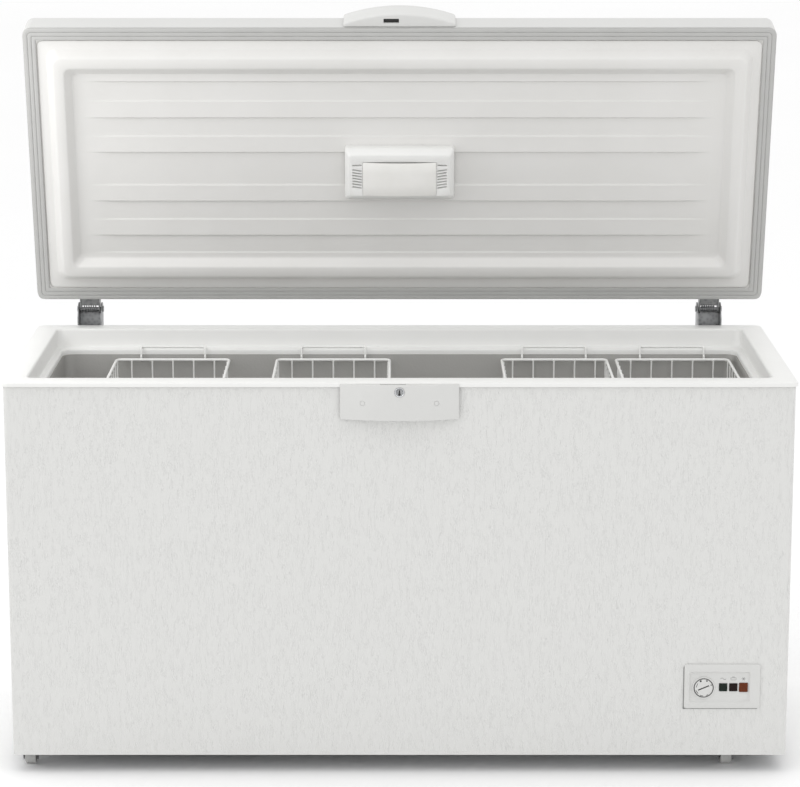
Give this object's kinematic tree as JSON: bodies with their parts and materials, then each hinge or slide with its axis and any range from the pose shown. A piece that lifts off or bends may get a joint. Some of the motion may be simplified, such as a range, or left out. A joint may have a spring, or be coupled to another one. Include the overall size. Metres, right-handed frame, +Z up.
{
  "type": "chest freezer",
  "caption": "Long white chest freezer with a sprung top lid, lid lamp, key lock, hanging wire baskets, castors and a thermostat panel at its foot.",
  "frame": {"origin": "on the floor under the middle of the overall box, with the lid open as stored", "axes": "+X to the right along the front, +Y from the front to the back, +Z up"},
  "size_m": [1.555, 0.7066, 1.4881],
  "materials": {
    "painted_steel": "satin",
    "white_plastic": "satin",
    "grey_plastic": "satin",
    "black_plastic": "matte",
    "foam": "matte",
    "zinc_steel": "satin",
    "coated_wire": "gloss",
    "liner_aluminium": "satin",
    "copper": "satin",
    "black_enamel": "satin",
    "chrome": "polished",
    "gasket_rubber": "matte",
    "lamp_glass": "gloss",
    "green_lens": "gloss",
    "red_lens": "gloss",
    "orange_button": "gloss"
  },
  "bodies": {
    "cabinet": {"outer_wrap": "painted_steel", "back_panel": "painted_steel", "collar_frame": "white_plastic", "control_bezel": "white_plastic", "lock_housing": "white_plastic", "drain_tube": "grey_plastic", "cord_gland": "black_plastic", "vent_grille": "black_plastic", "thermostat_body": "black_plastic", "insulation_foam": "foam", "bottom_panel": "zinc_steel", "compressor_tray": "zinc_steel", "hinge_bracket_left": "zinc_steel", "hinge_bracket_right": "zinc_steel", "hinge_pin_left": "zinc_steel", "hinge_pin_right": "zinc_steel", "hinge_spring_left": "zinc_steel", "hinge_spring_right": "zinc_steel", "castor_bracket_front_left": "zinc_steel", "castor_bracket_front_right": "zinc_steel", "castor_bracket_rear_left": "zinc_steel", "castor_bracket_rear_right": "zinc_steel", "inner_liner": "liner_aluminium", "evaporator_coil": "copper", "filter_drier": "copper", "discharge_pipe": "copper", "compressor": "black_enamel", "power_lamp_lens": "green_lens", "alarm_lamp_lens": "red_lens"},
    "lid": {"lid_shell": "painted_steel", "lid_foam": "foam", "lid_liner": "white_plastic", "lid_gasket": "gasket_rubber", "lid_handle": "white_plastic", "lamp_base": "white_plastic", "lamp_cover": "lamp_glass", "lamp_bulb": "lamp_glass", "hinge_leaf_left": "zinc_steel", "hinge_leaf_right": "zinc_steel"},
    "thermostat_dial": {"thermostat_dial": "white_plastic"},
    "fast_freeze_button": {"fast_freeze_button": "orange_button"},
    "lock": {"lock_cylinder": "chrome", "lock_hook": "zinc_steel"},
    "drain_plug": {"drain_plug": "grey_plastic"},
    "castor_roller_front_left": {"castor_roller_front_left": "grey_plastic"},
    "castor_roller_front_right": {"castor_roller_front_right": "grey_plastic"},
    "castor_roller_rear_left": {"castor_roller_rear_left": "grey_plastic"},
    "castor_roller_rear_right": {"castor_roller_rear_right": "grey_plastic"},
    "basket_1": {"basket_1": "coated_wire"},
    "basket_1_rear_bail": {"basket_1_rear_bail": "coated_wire"},
    "basket_1_front_bail": {"basket_1_front_bail": "coated_wire"},
    "basket_2": {"basket_2": "coated_wire"},
    "basket_2_rear_bail": {"basket_2_rear_bail": "coated_wire"},
    "basket_2_front_bail": {"basket_2_front_bail": "coated_wire"},
    "basket_3": {"basket_3": "coated_wire"},
    "basket_3_rear_bail": {"basket_3_rear_bail": "coated_wire"},
    "basket_3_front_bail": {"basket_3_front_bail": "coated_wire"},
    "basket_4": {"basket_4": "coated_wire"},
    "basket_4_rear_bail": {"basket_4_rear_bail": "coated_wire"},
    "basket_4_front_bail": {"basket_4_front_bail": "coated_wire"}
  },
  "joints": [
    {"name": "lid_hinge", "type": "hinge", "parent": "cabinet", "child": "lid", "pos_m": [0, 0.32019, 0.826], "axis": [-1, 0, 0], "range_deg": [-76.4, 8.6]},
    {"name": "thermostat_turn", "type": "hinge", "parent": "cabinet", "child": "thermostat_dial", "pos_m": [0.6046, -0.32381, 0.1772], "axis": [0, -1, 0], "range_deg": [0, 274]},
    {"name": "fast_freeze_press", "type": "slide", "parent": "cabinet", "child": "fast_freeze_button", "axis": [0, 1, 0], "range_m": [0, 0.003], "stiffness_N_per_m": 300},
    {"name": "lock_turn", "type": "hinge", "parent": "cabinet", "child": "lock", "pos_m": [0, -0.33781, 0.782], "axis": [0, 1, 0], "range_deg": [0, 80]},
    {"name": "drain_plug_pull", "type": "slide", "parent": "cabinet", "child": "drain_plug", "axis": [0, 0, 1], "range_m": [0, 0.03]},
    {"name": "roll_front_left", "type": "hinge", "parent": "cabinet", "child": "castor_roller_front_left", "pos_m": [-0.744, -0.26781, 0.0155], "axis": [1, 0, 0], "continuous": true},
    {"name": "roll_front_right", "type": "hinge", "parent": "cabinet", "child": "castor_roller_front_right", "pos_m": [0.658, -0.26781, 0.0155], "axis": [1, 0, 0], "continuous": true},
    {"name": "roll_rear_left", "type": "hinge", "parent": "cabinet", "child": "castor_roller_rear_left", "pos_m": [-0.744, 0.23019, 0.0155], "axis": [1, 0, 0], "continuous": true},
    {"name": "roll_rear_right", "type": "hinge", "parent": "cabinet", "child": "castor_roller_rear_right", "pos_m": [0.658, 0.23019, 0.0155], "axis": [1, 0, 0], "continuous": true},
    {"name": "basket_1_lift", "type": "slide", "parent": "cabinet", "child": "basket_1", "axis": [0, 0, 1], "range_m": [0, 0.28]},
    {"name": "basket_1_rear_bail_swing", "type": "hinge", "parent": "basket_1", "child": "basket_1_rear_bail", "pos_m": [-0.4825, 0.21119, 0.7415], "axis": [1, 0, 0], "range_deg": [0, 85]},
    {"name": "basket_1_front_bail_swing", "type": "hinge", "parent": "basket_1", "child": "basket_1_front_bail", "pos_m": [-0.4825, -0.24081, 0.7415], "axis": [-1, 0, 0], "range_deg": [0, 85]},
    {"name": "basket_2_lift", "type": "slide", "parent": "cabinet", "child": "basket_2", "axis": [0, 0, 1], "range_m": [0, 0.28]},
    {"name": "basket_2_rear_bail_swing", "type": "hinge", "parent": "basket_2", "child": "basket_2_rear_bail", "pos_m": [-0.141, 0.21119, 0.7415], "axis": [1, 0, 0], "range_deg": [0, 85]},
    {"name": "basket_2_front_bail_swing", "type": "hinge", "parent": "basket_2", "child": "basket_2_front_bail", "pos_m": [-0.141, -0.24081, 0.7415], "axis": [-1, 0, 0], "range_deg": [0, 85]},
    {"name": "basket_3_lift", "type": "slide", "parent": "cabinet", "child": "basket_3", "axis": [0, 0, 1], "range_m": [0, 0.28]},
    {"name": "basket_3_rear_bail_swing", "type": "hinge", "parent": "basket_3", "child": "basket_3_rear_bail", "pos_m": [0.329, 0.21119, 0.7415], "axis": [1, 0, 0], "range_deg": [0, 85]},
    {"name": "basket_3_front_bail_swing", "type": "hinge", "parent": "basket_3", "child": "basket_3_front_bail", "pos_m": [0.329, -0.24081, 0.7415], "axis": [-1, 0, 0], "range_deg": [0, 85]},
    {"name": "basket_4_lift", "type": "slide", "parent": "cabinet", "child": "basket_4", "axis": [0, 0, 1], "range_m": [0, 0.28]},
    {"name": "basket_4_rear_bail_swing", "type": "hinge", "parent": "basket_4", "child": "basket_4_rear_bail", "pos_m": [0.5805, 0.21119, 0.7415], "axis": [1, 0, 0], "range_deg": [0, 85]},
    {"name": "basket_4_front_bail_swing", "type": "hinge", "parent": "basket_4", "child": "basket_4_front_bail", "pos_m": [0.5805, -0.24081, 0.7415], "axis": [-1, 0, 0], "range_deg": [0, 85]}
  ]
}
